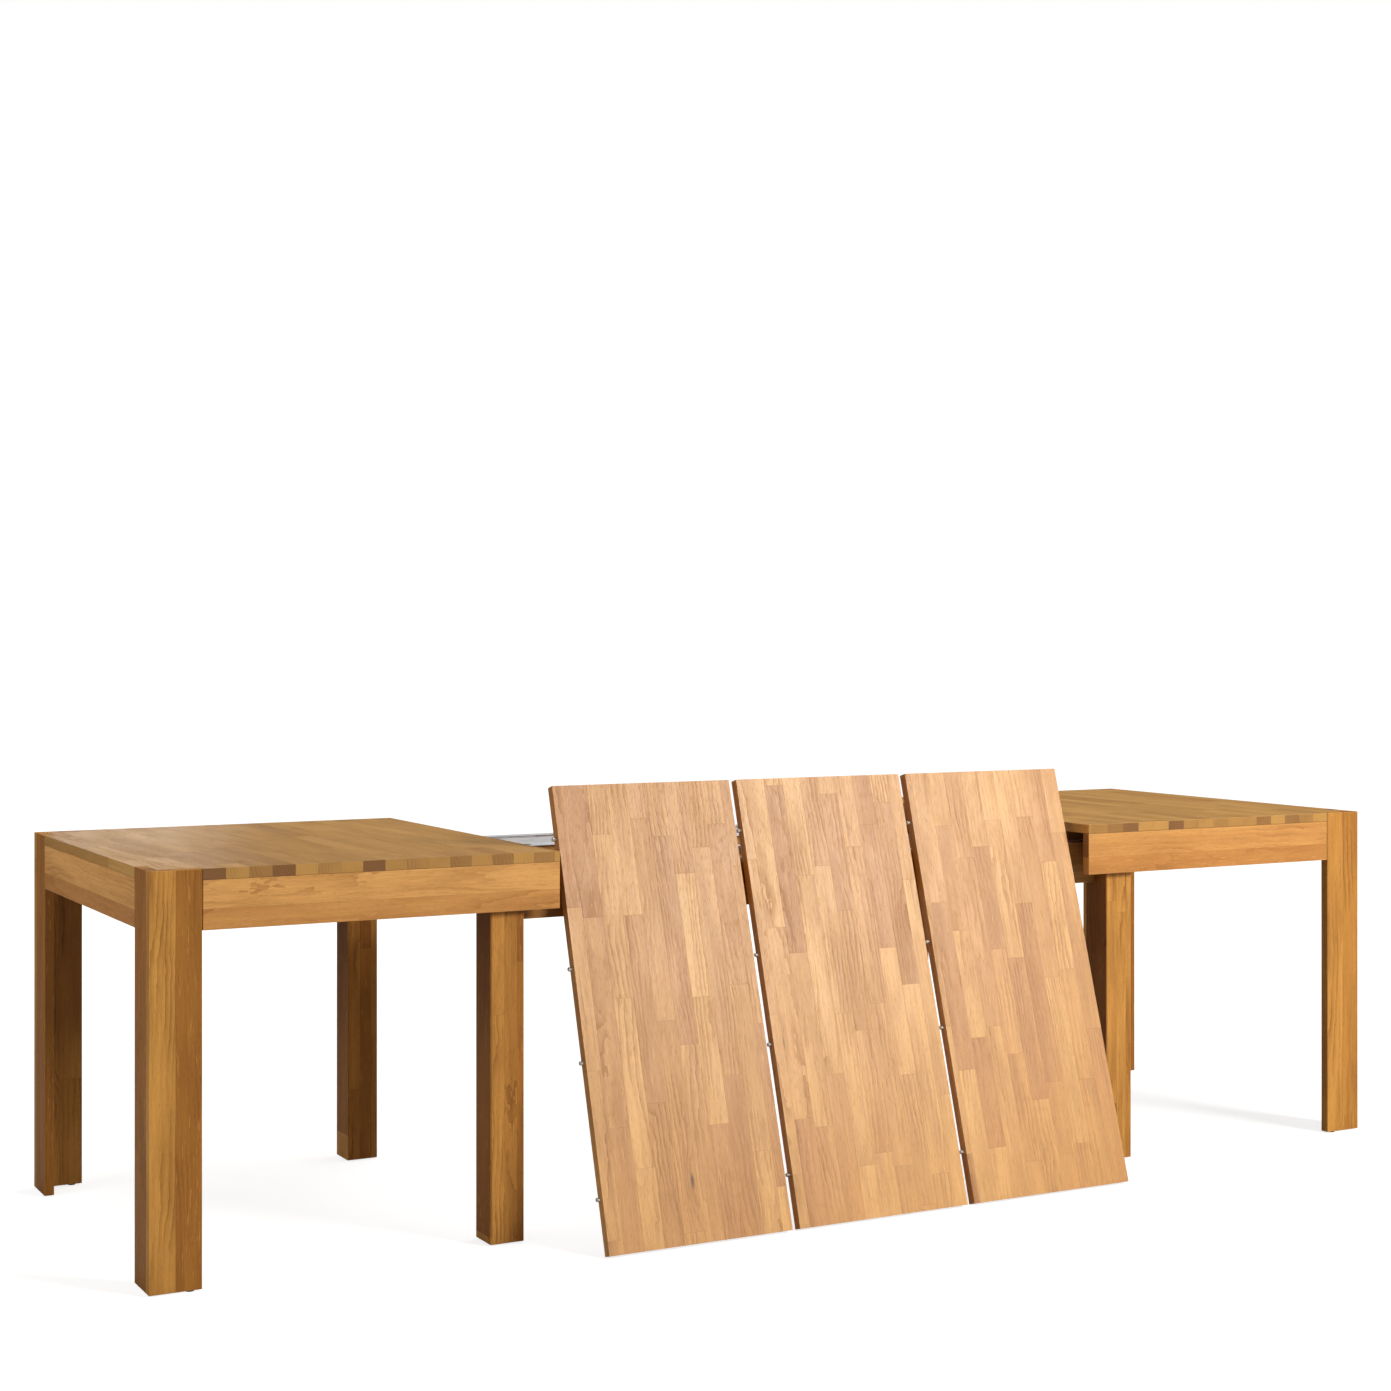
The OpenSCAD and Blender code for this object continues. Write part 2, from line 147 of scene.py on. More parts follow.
def between(tree, value, low, high, to_low=0.0, to_high=1.0):
    """A smooth step from to_low to to_high as value goes from low to high."""
    node = place(tree, "ShaderNodeMapRange", interpolation_type="SMOOTHSTEP")
    for socket, item in zip(node.inputs, (value, low, high, to_low, to_high)):
        feed(tree, socket, item)
    return node.outputs[0]


def blend(tree, share, a, b, mode="MIX"):
    """Mixes two colours by a share from 0 to 1."""
    node = place(tree, "ShaderNodeMix", data_type="RGBA", blend_type=mode, clamp_factor=True)
    feed(tree, node.inputs[0], share)
    feed(tree, node.inputs[6], a)
    feed(tree, node.inputs[7], b)
    return node.outputs[2]


def stretched_noise(tree, vector, scale, detail=2.0, roughness=0.5):
    """Noise with its own scale, in cells per metre, along each of the three directions."""
    moved = vector_calc(tree, "MULTIPLY", vector, scale)
    node = place(tree, "ShaderNodeTexNoise", noise_dimensions="3D")
    feed(tree, node.inputs["Vector"], moved)
    node.inputs["Scale"].default_value = 1.0
    node.inputs["Detail"].default_value = detail
    node.inputs["Roughness"].default_value = roughness
    return node.outputs["Fac"]


def new_group(name, inputs, outputs):
    """A shader group with named sockets; gives the tree, its inputs and its outputs."""
    tree = bpy.data.node_groups.new(name, "ShaderNodeTree")
    for title, kind in inputs:
        tree.interface.new_socket(title, in_out="INPUT", socket_type=f"NodeSocket{kind}")
    for title, kind in outputs:
        tree.interface.new_socket(title, in_out="OUTPUT", socket_type=f"NodeSocket{kind}")
    into = tree.nodes.new("NodeGroupInput").outputs
    return tree, into, tree.nodes.new("NodeGroupOutput").inputs


def new_look(name):
    """A material with nodes; gives the material, its tree and its Principled shader."""
    look = bpy.data.materials.new(name)
    look.use_nodes = True
    return look, look.node_tree, look.node_tree.nodes["Principled BSDF"]


def emboss(tree, shader, height, strength, distance):
    """Feeds a height through a Bump node into a shader's normal."""
    bump = place(tree, "ShaderNodeBump")
    bump.inputs["Strength"].default_value = strength
    bump.inputs["Distance"].default_value = distance
    feed(tree, bump.inputs["Height"], height)
    feed(tree, shader.inputs["Normal"], bump.outputs[0])


print("helpers ready")

# %% Floor
FLOOR_SIZE = 60.0
GLOW_REACH = (1.6, 4.5)    # metres from the table's middle, from the first glow to the full one
GLOW = (0.80, 1.0)         # the floor's own light under the table and far away from it

bpy.ops.mesh.primitive_plane_add(size=FLOOR_SIZE, location=(0, 0, 0))
floor = bpy.context.object
floor.name = "floor"
floor_look, floor_tree, floor_shader = new_look("pale_floor")
floor_shader.inputs["Base Color"].default_value = (0.46, 0.455, 0.445, 1)
floor_shader.inputs["Roughness"].default_value = 0.9
floor_shader.inputs["Specular IOR Level"].default_value = 0.1
floor_shader.inputs["Emission Color"].default_value = (1, 1, 1, 1)
seen = place(floor_tree, "ShaderNodeLightPath").outputs["Is Camera Ray"]
floor_place = place(floor_tree, "ShaderNodeTexCoord").outputs["Object"]
glow = between(floor_tree, vector_calc(floor_tree, "LENGTH", floor_place), *GLOW_REACH, *GLOW)
feed(floor_tree, floor_shader.inputs["Emission Strength"],
     calc(floor_tree, "MULTIPLY", seen, glow))
floor.data.materials.append(floor_look)
print("floor:", tuple(floor.dimensions))

# %% Sky
SKY_LIGHT = 0.15
sky = bpy.data.worlds.new("even_sky")
bpy.context.scene.world = sky
sky.use_nodes = True
sky_tree = sky.node_tree
sky_shader = sky_tree.nodes["Background"]
sky_shader.inputs["Color"].default_value = (1, 1, 1, 1)
sky_seen = place(sky_tree, "ShaderNodeLightPath").outputs["Is Camera Ray"]
feed(sky_tree, sky_shader.inputs["Strength"],
     calc(sky_tree, "MULTIPLY_ADD", sky_seen, 1.0 - SKY_LIGHT, SKY_LIGHT))
print("sky light:", SKY_LIGHT)

# %% [markdown]
# Six soft lamps light the table. The key stands at the front right. It is split in two:
# the stronger lamp gives no reflection, so that the oiled tops shine but never blow out.
# A low lamp behind the table draws a pale sheen across the left top.

# %% Lights
def softbox(name, place_at, aim_at, width, height, watts):
    """A large area lamp turned towards a point."""
    lamp_data = bpy.data.lights.new(name, "AREA")
    lamp_data.shape = "RECTANGLE"
    lamp_data.size, lamp_data.size_y, lamp_data.energy = width, height, watts
    lamp = bpy.data.objects.new(name, lamp_data)
    bpy.context.scene.collection.objects.link(lamp)
    lamp.location = place_at
    lamp.rotation_euler = (Vector(aim_at) - Vector(place_at)).to_track_quat("-Z", "Y").to_euler()
    return lamp


LAMPS = {    # place, aim, width, height, watts
    "key": ((3.2, -5.2, 3.2), (0.1, 0.0, 0.5), 2.2, 1.8, 250),
    "key_shine": ((3.2, -5.2, 3.2), (0.1, 0.0, 0.5), 2.2, 1.8, 180),
    "overhead": ((0.6, 0.4, 4.2), (0.2, 0.0, 0.5), 3.0, 2.2, 90),
    "left_fill": ((-5.4, -1.2, 2.6), (-0.8, 0.1, 0.5), 2.0, 2.0, 24),
    "end_fill": ((-2.6, 0.1, 1.15), (-1.45, 0.1, 0.72), 1.1, 0.4, 7.0),
    "sheen": ((-0.15, 4.8, 1.32), (-1.2, 0.1, 0.75), 0.8, 0.5, 4.6),
}
lamps = {name: softbox(name, *lamp) for name, lamp in LAMPS.items()}
lamps["key"].visible_glossy = False
lamps["sheen"].visible_camera = False
print("lights:", sorted(lamps))

# %% [markdown]
# ## Oak
#
# Solid oak furniture of this kind is glued up from staves. Each stave comes from another
# part of a tree, so its tone, the slope of its rings and its flecks all change at the
# glue line. The look is built from three shared groups: one lays out the staves, one
# grows the rings inside a stave, and one turns both into colour, gloss and relief.
#
# Every board carries its own measure as an attribute called board: how far along the
# grain a point lies, how far across, and how deep. A leaning leaf and a level top can
# then share a material, since the pattern follows the wood and not the room.

# %% Node group: staves
LENGTH_SPREAD = (0.7, 0.65)    # by a row's die roll, and always there
ROW_SLIDE = 7.0                # the most staves that a row is slid along
SEAM_WIDTH = 0.9 * MM

staves, s_in, s_out = new_group(
    "staves",
    [("Board", "Vector"), ("Lot", "Float"), ("Width", "Float"), ("Length", "Float")],
    [("Tone", "Float"), ("Shift", "Vector"), ("Seam", "Float")])
spot = split(staves, s_in["Board"])
lot_number = calc(staves, "ROUND", s_in["Lot"])
row_place = calc(staves, "DIVIDE", spot["Y"], s_in["Width"])
row = calc(staves, "FLOOR", row_place)
row_dice = roll(staves, row, lot_number)
stave_length = calc(staves, "MULTIPLY", s_in["Length"],
                    calc(staves, "MULTIPLY_ADD", row_dice["Value"], *LENGTH_SPREAD))
row_start = split(staves, row_dice["Color"], "Color")[1]
column_place = calc(staves, "ADD", calc(staves, "DIVIDE", spot["X"], stave_length),
                    calc(staves, "MULTIPLY", row_start, ROW_SLIDE))
stave_dice = roll(staves, row, lot_number, calc(staves, "FLOOR", column_place))


def edge_distance(position, step):
    """How far a point lies from the nearest whole step, in metres."""
    return calc(staves, "MULTIPLY", calc(staves, "PINGPONG", position, 0.5), step)


glue = calc(staves, "MINIMUM", edge_distance(row_place, s_in["Width"]),
            edge_distance(column_place, stave_length))
feed(staves, s_out["Tone"], stave_dice["Value"])
feed(staves, s_out["Shift"], stave_dice["Color"])
feed(staves, s_out["Seam"], between(staves, glue, 0.0, SEAM_WIDTH, 1.0, 0.0))
print("staves group:", len(staves.nodes), "nodes")

# %% [markdown]
# A stave is a slice through rings that run nearly parallel to it. The group measures the
# distance from an imagined heart of the tree, bends that distance with slow noise and
# around knots, and cuts it into rings. Slices close to the heart line give cathedral
# arches and slices far from it give straight lines, with no rule needed for either.

# %% Node group: rings, pores, flecks and knots
STAVE_JUMP = (9.0, 5.0, 7.0)        # how far apart in the tree two staves are cut
KNOT_CELLS = (4.2, 15.0, 15.0)      # cells per metre, each with one knot or none
KNOT_REACH, KNOT_CORE = 0.42, (0.02, 0.085)
KNOT_BEND = 18 * MM
HEART_ACROSS, HEART_BELOW = (0.16, -0.05), (0.10, 0.012)    # spread and least place of the heart
HEART_BEND, HEART_RIPPLE = (0.050, 0.012), (0.013, 0.003)   # by figure, and always there
RING_SLOPE = (0.05, -0.025)
EARLY_WOOD = 1.9

grain, g_in, g_out = new_group(
    "oak_grain",
    [("Board", "Vector"), ("Shift", "Vector"), ("Figure", "Float"), ("Knots", "Float"),
     ("Ring width", "Float")],
    [("Rings", "Float"), ("Streaks", "Float"), ("Pores", "Float"), ("Flecks", "Float"),
     ("Knot", "Float"), ("Cloud", "Float")])
offset = vector_calc(grain, "MULTIPLY", g_in["Shift"], STAVE_JUMP)
at = vector_calc(grain, "ADD", g_in["Board"], offset)
here = split(grain, g_in["Board"])
dice = split(grain, g_in["Shift"])

knot_field = place(grain, "ShaderNodeTexVoronoi", voronoi_dimensions="3D", feature="F1")
feed(grain, knot_field.inputs["Vector"], vector_calc(grain, "MULTIPLY", at, KNOT_CELLS))
knot_field.inputs["Scale"].default_value = 1.0
knot_dice = split(grain, knot_field.outputs["Color"], "Color")[0]
has_knot = calc(grain, "LESS_THAN", knot_dice, g_in["Knots"])
knot_swirl = calc(grain, "MULTIPLY", has_knot,
                  between(grain, knot_field.outputs["Distance"], 0.0, KNOT_REACH, 1.0, 0.0))
knot_core = calc(grain, "MULTIPLY", has_knot,
                 between(grain, knot_field.outputs["Distance"], *KNOT_CORE, 1.0, 0.0))

wander = stretched_noise(grain, at, (1.9, 9.0, 9.0), detail=2.0)
ripple = stretched_noise(grain, at, (13.0, 42.0, 42.0), detail=3.0, roughness=0.6)
across_heart = calc(grain, "SUBTRACT", here["Y"],
                    calc(grain, "MULTIPLY_ADD", dice["Y"], *HEART_ACROSS))
below_heart = calc(grain, "SUBTRACT", here["Z"],
                   calc(grain, "MULTIPLY_ADD", dice["Z"], *HEART_BELOW))
heart = calc(grain, "SQRT", calc(
    grain, "ADD", calc(grain, "MULTIPLY", across_heart, across_heart),
    calc(grain, "MULTIPLY", below_heart, below_heart)))
bend = calc(grain, "MULTIPLY", calc(grain, "SUBTRACT", wander, 0.5),
            calc(grain, "MULTIPLY_ADD", g_in["Figure"], *HEART_BEND))
slope = calc(grain, "MULTIPLY", here["X"],
             calc(grain, "MULTIPLY_ADD", dice["X"], *RING_SLOPE))
radius = calc(grain, "ADD", calc(grain, "ADD", heart, bend), slope)
radius = calc(grain, "ADD", radius, calc(grain, "MULTIPLY", ripple, calc(
    grain, "MULTIPLY_ADD", g_in["Figure"], *HEART_RIPPLE)))
radius = calc(grain, "ADD", radius, calc(grain, "MULTIPLY", knot_swirl, KNOT_BEND))
ring_part = calc(grain, "FRACT", calc(grain, "DIVIDE", radius, g_in["Ring width"]))
early_wood = calc(grain, "POWER", calc(grain, "SUBTRACT", 1.0, ring_part), EARLY_WOOD)

pores = stretched_noise(grain, at, (70.0, 900.0, 900.0), detail=1.0)
fine = stretched_noise(grain, at, (9.0, 210.0, 210.0), detail=3.0, roughness=0.6)
broad = stretched_noise(grain, at, (3.0, 42.0, 42.0), detail=2.0)
flecks = stretched_noise(grain, at, (24.0, 260.0, 260.0), detail=2.0)
quarter_cut = between(grain, dice["X"], 0.35, 0.65)
cloud = stretched_noise(grain, at, (3.4, 17.0, 17.0), detail=3.0, roughness=0.6)
fading = stretched_noise(grain, at, (4.0, 20.0, 20.0), detail=1.0)
ring_strength = between(grain, fading, 0.40, 0.66, 0.10, 1.0)
feed(grain, g_out["Rings"], calc(grain, "MULTIPLY", early_wood, ring_strength))
feed(grain, g_out["Streaks"], calc(
    grain, "ADD", calc(grain, "MULTIPLY", between(grain, fine, 0.36, 0.68), 0.55),
    calc(grain, "MULTIPLY", between(grain, broad, 0.38, 0.66), 0.45)))
feed(grain, g_out["Pores"], between(grain, pores, 0.56, 0.70))
feed(grain, g_out["Flecks"],
     calc(grain, "MULTIPLY", quarter_cut, between(grain, flecks, 0.63, 0.70)))
feed(grain, g_out["Knot"], knot_core)
feed(grain, g_out["Cloud"], calc(grain, "ADD", between(grain, cloud, 0.35, 0.7),
                                 calc(grain, "MULTIPLY", knot_swirl, 0.8), clamp=True))
print("grain group:", len(grain.nodes), "nodes")

# %% [markdown]
# The last group starts from the stave's own tone and darkens it step by step: slow clouds,
# rings and streaks, open pores, knots and glue lines. Each share below says how strongly
# one of them tells. Sawn ends take up more oil, so they turn darker and duller.

# %% Node group: oiled surface
RING_SHARE, STREAK_SHARE, CLOUD_SHARE, PORE_SHARE = 0.72, 0.42, 0.48, 0.30
FLECK_SHARE, KNOT_SHARE, SEAM_SHARE, EDGE_HIGHLIGHT_SHARE = 0.35, 0.72, 0.20, 0.30
END_ROSY, END_RINGS, END_DARK = 0.62, 0.35, (0.185, 0.072, 0.021, 1)
HEART_BROWN = (0.060, 0.026, 0.008, 1)

oiled, o_in, o_out = new_group(
    "oiled_oak",
    [("Tone", "Float"), ("Rings", "Float"), ("Streaks", "Float"), ("Pores", "Float"),
     ("Flecks", "Float"), ("Knot", "Float"), ("Cloud", "Float"), ("Seam", "Float"),
     ("End grain", "Float"), ("Eased", "Float"), ("Contrast", "Float"),
     ("Pale", "Color"), ("Tan", "Color"), ("Rosy", "Color"), ("Brown", "Color"),
     ("Gloss", "Float"), ("Shift", "Vector")],
    [("Color", "Color"), ("Roughness", "Float"), ("Height", "Float")])


def share(title, amount):
    """A mask of the group, weakened to an amount."""
    return calc(oiled, "MULTIPLY", o_in[title], amount)


ring_share = share("Rings", RING_SHARE)
end_dice = split(oiled, o_in["Shift"])["Z"]
wood = blend(oiled, between(oiled, o_in["Tone"], 0.05, 0.72), o_in["Pale"], o_in["Tan"])
wood = blend(oiled, between(oiled, o_in["Tone"], 0.66, 0.95), wood, o_in["Rosy"])
wood = blend(oiled, share("Cloud", share("Contrast", CLOUD_SHARE)), wood, o_in["Brown"])
wood = blend(oiled, share("Contrast", calc(
    oiled, "MULTIPLY_ADD", o_in["Streaks"], STREAK_SHARE, ring_share)), wood, o_in["Brown"])
wood = blend(oiled, share("Pores", share("Contrast", PORE_SHARE)), wood, HEART_BROWN)
wood = blend(oiled, share("Flecks", FLECK_SHARE), wood, o_in["Pale"])
wood = blend(oiled, share("Knot", KNOT_SHARE), wood, HEART_BROWN)
cut_across = blend(oiled, calc(oiled, "POWER", end_dice, 2.5),
                   blend(oiled, END_ROSY, o_in["Pale"], o_in["Rosy"]), END_DARK)
cut_across = blend(oiled, share("Rings", END_RINGS), cut_across, HEART_BROWN)
wood = blend(oiled, o_in["End grain"], wood, cut_across)
wood = blend(oiled, share("Seam", SEAM_SHARE), wood, HEART_BROWN)
# Eased edges are blended towards the pale tone: a painted highlight along every edge, whichever
# way the light falls.
wood = blend(oiled, share("Eased", EDGE_HIGHLIGHT_SHARE), wood, o_in["Pale"])
feed(oiled, o_out["Color"], wood)
dull = o_in["Gloss"]
for title, amount in (("Rings", 0.10), ("Pores", 0.12), ("End grain", 0.15), ("Cloud", 0.05)):
    dull = calc(oiled, "MULTIPLY_ADD", o_in[title], amount, dull, clamp=title == "Cloud")
feed(oiled, o_out["Roughness"], dull)
height = 1.0
for title, depth in (("Pores", -0.7), ("Rings", -0.35), ("Seam", -0.8)):
    height = calc(oiled, "MULTIPLY_ADD", o_in[title], depth, height)
feed(oiled, o_out["Height"], height)
print("oiled group:", len(oiled.nodes), "nodes")

# %% A material for each cut of oak
OAK_IOR, OAK_BUMP, OAK_DEPTH = 1.48, 0.22, 0.6 * MM


def board_attribute(tree, name):
    node = place(tree, "ShaderNodeAttribute", attribute_type="GEOMETRY", attribute_name=name)
    return node.outputs


def oak(name, tones, stave_size, contrast, figure, knots, ring_width, gloss, shine):
    """One oiled oak finish. Colours are linear; widths and lengths are in metres."""
    look, tree, shader = new_look(name)
    layout, figure_group, surface = (
        place(tree, "ShaderNodeGroup", node_tree=group) for group in (staves, grain, oiled))
    measure = board_attribute(tree, "board")["Vector"]
    lot = board_attribute(tree, "lot")["Fac"]
    for group, titles, values in (
            (layout, ("Board", "Lot", "Width", "Length"), (measure, lot, *stave_size)),
            (figure_group, ("Board", "Shift", "Figure", "Knots", "Ring width"),
             (measure, layout.outputs["Shift"], figure, knots, ring_width)),
            (surface, ("Pale", "Tan", "Rosy", "Brown"), [(*tone, 1) for tone in tones]),
            (surface, ("Contrast", "Gloss"), (contrast, gloss))):
        for title, value in zip(titles, values):
            feed(tree, group.inputs[title], value)
    for title in ("Rings", "Streaks", "Pores", "Flecks", "Knot", "Cloud"):
        feed(tree, surface.inputs[title], figure_group.outputs[title])
    for title in ("Tone", "Seam", "Shift"):
        feed(tree, surface.inputs[title], layout.outputs[title])
    feed(tree, surface.inputs["End grain"], board_attribute(tree, "end_grain")["Fac"])
    feed(tree, surface.inputs["Eased"], board_attribute(tree, "eased")["Fac"])
    feed(tree, shader.inputs["Base Color"], surface.outputs["Color"])
    feed(tree, shader.inputs["Roughness"], surface.outputs["Roughness"])
    emboss(tree, shader, surface.outputs["Height"], OAK_BUMP, OAK_DEPTH)
    shader.inputs["IOR"].default_value = OAK_IOR
    shader.inputs["Specular IOR Level"].default_value = shine
    return look


WHOLE = 40.0    # a stave length far beyond any board, for boards made in one length
OAK = {    # pale, tan, rosy, brown; stave size; contrast, figure, knots, ring width; gloss, shine
    "oak_top": (((0.61, 0.325, 0.082), (0.535, 0.275, 0.062), (0.455, 0.222, 0.048),
                 (0.25, 0.105, 0.020)), (0.0433, 0.34), 0.55, 0.30, 0.05, 0.0065, 0.40, 0.45),
    "oak_leaf": (((0.755, 0.388, 0.104), (0.660, 0.314, 0.075), (0.582, 0.262, 0.063),
                  (0.32, 0.122, 0.026)), (0.0433, 0.34), 0.72, 0.95, 0.16, 0.0095, 0.38, 0.95),
    "oak_apron": (((0.78, 0.39, 0.115), (0.60, 0.268, 0.070), (0.50, 0.205, 0.050),
                   (0.34, 0.125, 0.024)), (0.0570, WHOLE), 0.66, 0.90, 0.05, 0.0085, 0.42, 0.30),
    "oak_corner_leg": (((0.70, 0.335, 0.072), (0.52, 0.225, 0.042), (0.38, 0.148, 0.026),
                        (0.21, 0.072, 0.012)), (0.0485, WHOLE),
                       0.72, 0.55, 0.14, 0.0075, 0.42, 0.20),
    "oak_inner_leg": (((0.68, 0.32, 0.070), (0.52, 0.215, 0.040), (0.36, 0.135, 0.024),
                       (0.19, 0.062, 0.010)), (0.0262, 0.62),
                      0.76, 0.65, 0.18, 0.0075, 0.44, 0.20),
    "oak_rail": (((0.50, 0.25, 0.066), (0.37, 0.165, 0.040), (0.28, 0.115, 0.026),
                  (0.17, 0.065, 0.014)), (0.0455, 0.52), 0.62, 0.60, 0.08, 0.0075, 0.46, 0.25),
    "oak_batten": (((0.56, 0.32, 0.130), (0.44, 0.235, 0.085), (0.36, 0.18, 0.065),
                    (0.24, 0.115, 0.035)), (0.050, 0.60), 0.50, 0.40, 0.06, 0.0065, 0.55, 0.35),
    "oak_cleat": (((0.58, 0.34, 0.145), (0.46, 0.25, 0.095), (0.38, 0.195, 0.072),
                   (0.26, 0.125, 0.040)), (0.040, 0.60), 0.50, 0.40, 0.06, 0.0065, 0.52, 0.35),
}
LOOKS = {name: oak(name, *values) for name, values in OAK.items()}
print("oak finishes:", sorted(LOOKS))

# %% [markdown]
# ## Metal and plastic
#
# The slides are cold-rolled strip with a bright zinc coat: fine lines along the length
# and a faint bluish cast that drifts from place to place. The racks and the guide are
# plain milled steel. Glides are moulded black plastic and the pinion is nylon.

# %% Node group: drawn metal
drawn, d_in, d_out = new_group(
    "drawn_metal",
    [("Position", "Vector"), ("Bright", "Color"), ("Worn", "Color"), ("Base roughness", "Float")],
    [("Color", "Color"), ("Roughness", "Float"), ("Height", "Float")])
lines = stretched_noise(drawn, d_in["Position"], (16.0, 2600.0, 2600.0), detail=2.0)
patches = stretched_noise(drawn, d_in["Position"], (9.0, 30.0, 30.0), detail=3.0, roughness=0.6)
metal = blend(drawn, between(drawn, patches, 0.38, 0.72), d_in["Bright"], d_in["Worn"])
line_share = calc(drawn, "MULTIPLY", between(drawn, lines, 0.55, 0.75), 0.22)
metal = blend(drawn, line_share, metal, d_in["Worn"])
feed(drawn, d_out["Color"], metal)
rough = calc(drawn, "MULTIPLY_ADD", lines, 0.16, d_in["Base roughness"])
feed(drawn, d_out["Roughness"], calc(drawn, "MULTIPLY_ADD", patches, 0.10, rough))
feed(drawn, d_out["Height"], lines)


def metal_finish(name, bright, worn, roughness, metallic=1.0):
    """A drawn metal, from its bright and its worn colour."""
    look, tree, shader = new_look(name)
    group = place(tree, "ShaderNodeGroup", node_tree=drawn)
    feed(tree, group.inputs["Position"], place(tree, "ShaderNodeTexCoord").outputs["Object"])
    for title, value in (("Bright", (*bright, 1)), ("Worn", (*worn, 1)),
                         ("Base roughness", roughness)):
        feed(tree, group.inputs[title], value)
    feed(tree, shader.inputs["Base Color"], group.outputs["Color"])
    feed(tree, shader.inputs["Roughness"], group.outputs["Roughness"])
    shader.inputs["Metallic"].default_value = metallic
    emboss(tree, shader, group.outputs["Height"], 0.08, 0.2 * MM)
    return look


METAL = {    # bright, worn, roughness, and how metallic if not fully
    # zinc_steel is only 0.55 metallic: its pale diffuse part is a painted reflection, standing in
    # for the bright surroundings that the dim sky does not give the slides.
    "zinc_steel": ((0.88, 0.89, 0.91), (0.70, 0.71, 0.73), 0.26, 0.55),
    "plain_steel": ((0.56, 0.56, 0.57), (0.38, 0.375, 0.37), 0.30),
    "screw_steel": ((0.74, 0.72, 0.66), (0.52, 0.50, 0.45), 0.25),
    "bright_pin": ((0.86, 0.84, 0.80), (0.66, 0.63, 0.58), 0.14),
}
LOOKS.update({name: metal_finish(name, *values) for name, values in METAL.items()})
print("metal finishes:", sorted(METAL))

# %% Moulded plastic
def plastic(name, light, dark, roughness):
    """A moulded plastic with a fine spark-eroded texture and a slightly uneven gloss."""
    look, tree, shader = new_look(name)
    position = place(tree, "ShaderNodeTexCoord").outputs["Object"]
    speckle = stretched_noise(tree, position, (2200.0, 2200.0, 2200.0), detail=2.0)
    drift = stretched_noise(tree, position, (90.0, 90.0, 90.0), detail=2.0)
    feed(tree, shader.inputs["Base Color"], blend(tree, drift, (*light, 1), (*dark, 1)))
    feed(tree, shader.inputs["Roughness"], calc(tree, "MULTIPLY_ADD", drift, 0.18, roughness))
    emboss(tree, shader, speckle, 0.15, 0.1 * MM)
    return look


PLASTIC = {    # light, dark, roughness
    "black_plastic": ((0.035, 0.035, 0.035), (0.022, 0.022, 0.023), 0.42),
    "nylon": ((0.84, 0.82, 0.76), (0.78, 0.75, 0.68), 0.34),
}
LOOKS.update({name: plastic(name, *values) for name, values in PLASTIC.items()})
print("plastics:", sorted(PLASTIC))

# %% [markdown]
# ## Boards
#
# Nearly every part of the table is a straight board. One helper makes them: a cube is
# scaled to the board's size, its twelve edges are eased with a small bevel, and the
# result is measured along, across and through the grain. A board that stops against
# another is cut back by about a millimetre, which leaves the fine dark joint line that
# real furniture shows.

# %% Making one board
EASE = 1.1 * MM          # how far an edge is planed back
FINE_EASE = 0.9 * MM     # the same on tops, leaves and corner legs
JOINT = 1.1 * MM         # the gap where one board stops against another
TURNED = 0.985           # a face turned further than this from its board's sides is an edge
FLAT = 0.9               # a face turned less than this from a direction counts as facing it
X, Y, Z = Vector((1, 0, 0)), Vector((0, 1, 0)), Vector((0, 0, 1))


def edit(select=None, kind=None):
    """Opens the active piece in edit mode, perhaps with all or nothing selected."""
    bpy.ops.object.mode_set(mode="EDIT")
    if select:
        bpy.ops.mesh.select_all(action=select)
    if kind:
        bpy.ops.mesh.select_mode(type=kind)


def leave_edit():
    bpy.ops.object.mode_set(mode="OBJECT")


def settle(piece):
    """Moves the piece's place and size into its mesh, so the object sits at the origin."""
    pick(piece)
    bpy.ops.object.transform_apply(location=True, rotation=True, scale=True)


def rod(vertices, radius, depth, middle, rotation=(0, 0, 0)):
    """A plain cylinder in its place, the start of a pin, a screw or a drill."""
    deselect()
    bpy.ops.mesh.primitive_cylinder_add(vertices=vertices, radius=radius, depth=depth,
                                        location=middle, rotation=rotation)
    piece = bpy.context.object
    settle(piece)
    return piece


def block(name, low, high):
    """A plain block between two corners, the start of a board."""
    deselect()
    bpy.ops.mesh.primitive_cube_add(size=1.0, location=(Vector(low) + Vector(high)) / 2)
    piece = bpy.context.object
    piece.name = piece.data.name = name
    piece.scale = Vector(high) - Vector(low)
    settle(piece)
    return piece


def ease_all(piece, amount=EASE, segments=2):
    """Bevels every edge of a block in edit mode, as a plane and paper would."""
    pick(piece)
    edit("SELECT")
    bpy.ops.mesh.bevel(offset=amount, segments=segments, affect="EDGES")
    leave_edit()


def ease_sharp(piece, amount=EASE, segments=2):
    """Bevels only the edges that turn sharply, on a shape that has been cut into."""
    pick(piece)
    eased = piece.modifiers.new("eased", "BEVEL")
    eased.width, eased.segments, eased.limit_method = amount, segments, "ANGLE"
    eased.angle_limit = math.radians(50)
    eased.use_clamp_overlap = True
    bpy.ops.object.modifier_apply(modifier="eased")


def eased_board(name, low, high, amount=EASE):
    """A board between two corners, all its edges eased."""
    piece = block(name, low, high)
    ease_all(piece, amount)
    return piece


def cut(piece, *tools):
    """Cuts tools out of a piece, then throws the tools away."""
    for tool in tools:
        pick(piece)
        saw = piece.modifiers.new("saw", "BOOLEAN")
        saw.operation, saw.solver, saw.object = "DIFFERENCE", "EXACT", tool
        bpy.ops.object.modifier_apply(modifier="saw")
        bpy.data.objects.remove(tool, do_unlink=True)


